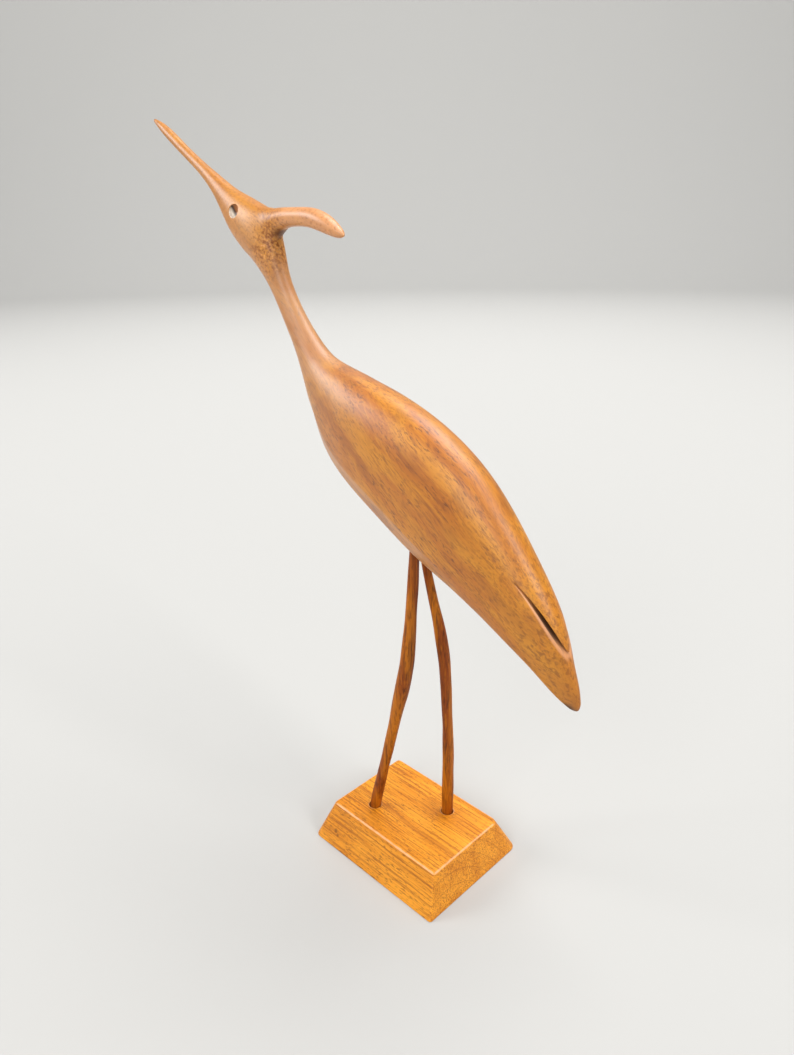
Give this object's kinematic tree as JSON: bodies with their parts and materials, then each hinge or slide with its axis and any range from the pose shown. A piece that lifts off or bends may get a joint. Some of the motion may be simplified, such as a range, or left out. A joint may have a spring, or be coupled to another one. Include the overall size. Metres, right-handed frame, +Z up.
{
  "type": "wooden bird sculpture",
  "caption": "Stylised crested wading bird carved in teak with its head raised, standing on thin bent legs set in a bevelled wooden block.",
  "frame": {"origin": "centre of the base's underside", "axes": "+Z up, -X the way the bird faces, -Y the bird's left side"},
  "size_m": [0.2319, 0.0568, 0.3014],
  "materials": {
    "bird_wood": "oiled reddish brown teak, satin sheen, fine straight grain",
    "leg_wood": "darker oiled teak dowel, satin sheen, grain along the leg",
    "base_wood": "oiled golden teak, satin sheen, worn pale edges"
  },
  "bodies": {
    "root": {"bird": "bird_wood", "left_leg": "leg_wood", "right_leg": "leg_wood", "base": "base_wood"}
  },
  "joints": []
}
